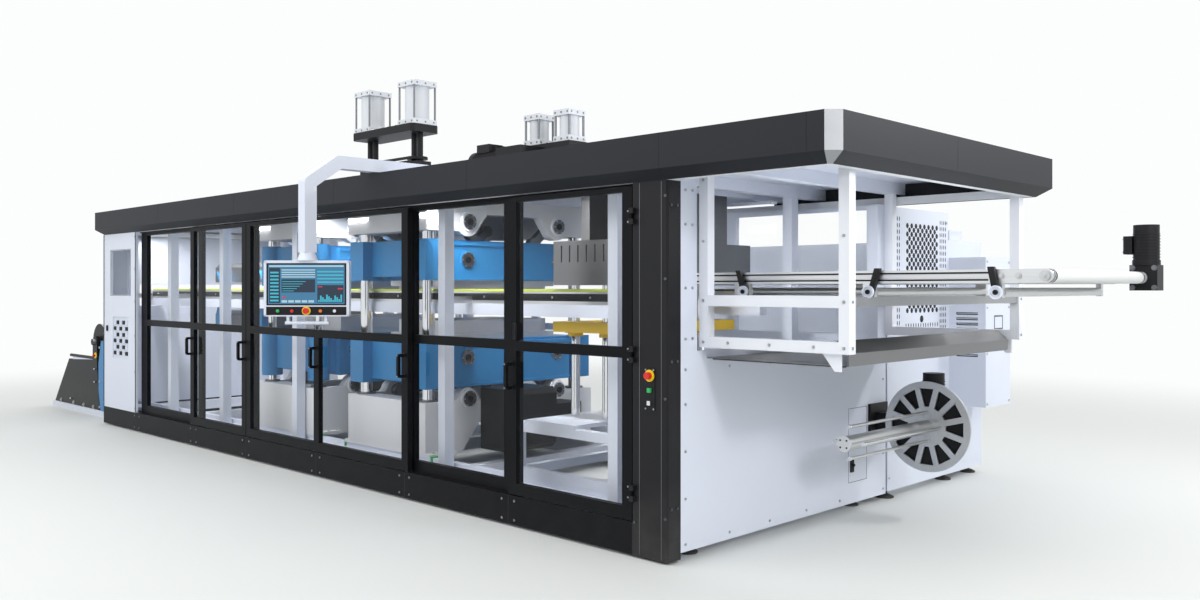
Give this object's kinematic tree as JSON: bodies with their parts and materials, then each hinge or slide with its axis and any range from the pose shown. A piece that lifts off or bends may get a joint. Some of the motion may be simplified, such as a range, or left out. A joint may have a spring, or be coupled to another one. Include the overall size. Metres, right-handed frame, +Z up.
{
  "type": "inline thermoforming machine",
  "caption": "Long glazed inline machine that heats film, forms and cuts it in two presses, stacks the parts and carries them out on a belt.",
  "frame": {"origin": "middle of the footprint, on the floor", "axes": "+X along the sheet towards the outfeed, +Y from the glazed front to the back, +Z up"},
  "size_m": [12.43, 4.735, 3.341],
  "materials": {
    "anthracite_sheet": "satin",
    "black_powder": "satin",
    "white_sheet": "satin",
    "cast_white": "satin",
    "platen_blue": "satin",
    "table_yellow": "satin",
    "chrome_rod": "polished",
    "grey_steel": "machined",
    "bright_steel": "brushed",
    "stainless": "brushed",
    "tool_alloy": "machined",
    "profile_alloy": "anodised",
    "belt_white": "matt",
    "clear_glazing": "clear",
    "foot_rubber": "matt",
    "cylinder_white": "satin"
  },
  "bodies": {
    "machine": {"back_posts": "white_sheet", "back_window_frames": "white_sheet", "back_window_glass": "clear_glazing", "base_frame": "white_sheet", "canopy_back": "anthracite_sheet", "canopy_front": "anthracite_sheet", "canopy_infeed": "anthracite_sheet", "canopy_outfeed": "anthracite_sheet", "chain_rails": "profile_alloy", "conveyor_belt": "belt_white", "conveyor_frame": "profile_alloy", "conveyor_motor": "black_powder", "conveyor_rollers": "bright_steel", "cooling_unit": "white_sheet", "corner_post": "black_powder", "end_panel": "white_sheet", "fixed_window_frames": "anthracite_sheet", "fixed_window_glass": "clear_glazing", "front_posts": "white_sheet", "guide_columns": "chrome_rod", "heater_hoods": "stainless", "heater_levers": "platen_blue", "infeed_end_wall": "white_sheet", "infeed_side_panels": "white_sheet", "levelling_feet": "foot_rubber", "lower_platens": "platen_blue", "outfeed_frame_back": "white_sheet", "outfeed_frame_front": "white_sheet", "outfeed_tray": "stainless", "panel_arm": "white_sheet", "plug_frame": "black_powder", "press_bases": "cast_white", "press_crossheads": "cast_white", "press_drives": "black_powder", "press_tools": "tool_alloy", "rail_beams": "white_sheet", "roof_beams": "white_sheet", "roof_drive": "black_powder", "roof_panel": "white_sheet", "service_cabinets": "white_sheet", "skirt_panels": "anthracite_sheet", "stacker_frame": "white_sheet", "stacker_hood": "stainless", "tie_rod_cylinders": "cylinder_white", "toggle_links": "grey_steel", "unwinder_base": "white_sheet", "unwinder_cheeks": "black_powder", "unwinder_columns": "platen_blue", "upper_platens": "platen_blue", "winder_drive": "black_powder"},
    "door_left": {"door_left": "anthracite_sheet", "door_left_glass": "clear_glazing"},
    "door_middle": {"door_middle": "anthracite_sheet", "door_middle_glass": "clear_glazing"},
    "door_right": {"door_right": "anthracite_sheet", "door_right_glass": "clear_glazing"},
    "control_panel": {"control_panel": "white_sheet"},
    "winder_rotor": {"winder_rotor": "bright_steel"},
    "lift_table": {"lift_table": "table_yellow"},
    "unwinder_reel": {"unwinder_reel": "bright_steel"}
  },
  "joints": [
    {"name": "door_left_slide", "type": "slide", "parent": "machine", "child": "door_left", "axis": [1, 0, 0], "range_m": [-1, 0]},
    {"name": "door_middle_slide", "type": "slide", "parent": "machine", "child": "door_middle", "axis": [1, 0, 0], "range_m": [0, 1.08]},
    {"name": "door_right_hinge", "type": "hinge", "parent": "machine", "child": "door_right", "pos_m": [4.0765, -1.57648, 1.13], "axis": [0, 0, 1], "range_deg": [0, 110]},
    {"name": "panel_swivel", "type": "hinge", "parent": "machine", "child": "control_panel", "pos_m": [1.565, -2.13948, 1.745], "axis": [0, 0, 1], "range_deg": [-60, 60]},
    {"name": "winder_turn", "type": "hinge", "parent": "machine", "child": "winder_rotor", "pos_m": [4.745, 0.60752, 0.58], "axis": [0, 1, 0], "continuous": true},
    {"name": "table_lift", "type": "slide", "parent": "machine", "child": "lift_table", "axis": [0, 0, 1], "range_m": [-0.45, 0.2]},
    {"name": "reel_turn", "type": "hinge", "parent": "machine", "child": "unwinder_reel", "pos_m": [-4.805, -0.38248, 0.86], "axis": [0, 1, 0], "continuous": true}
  ]
}
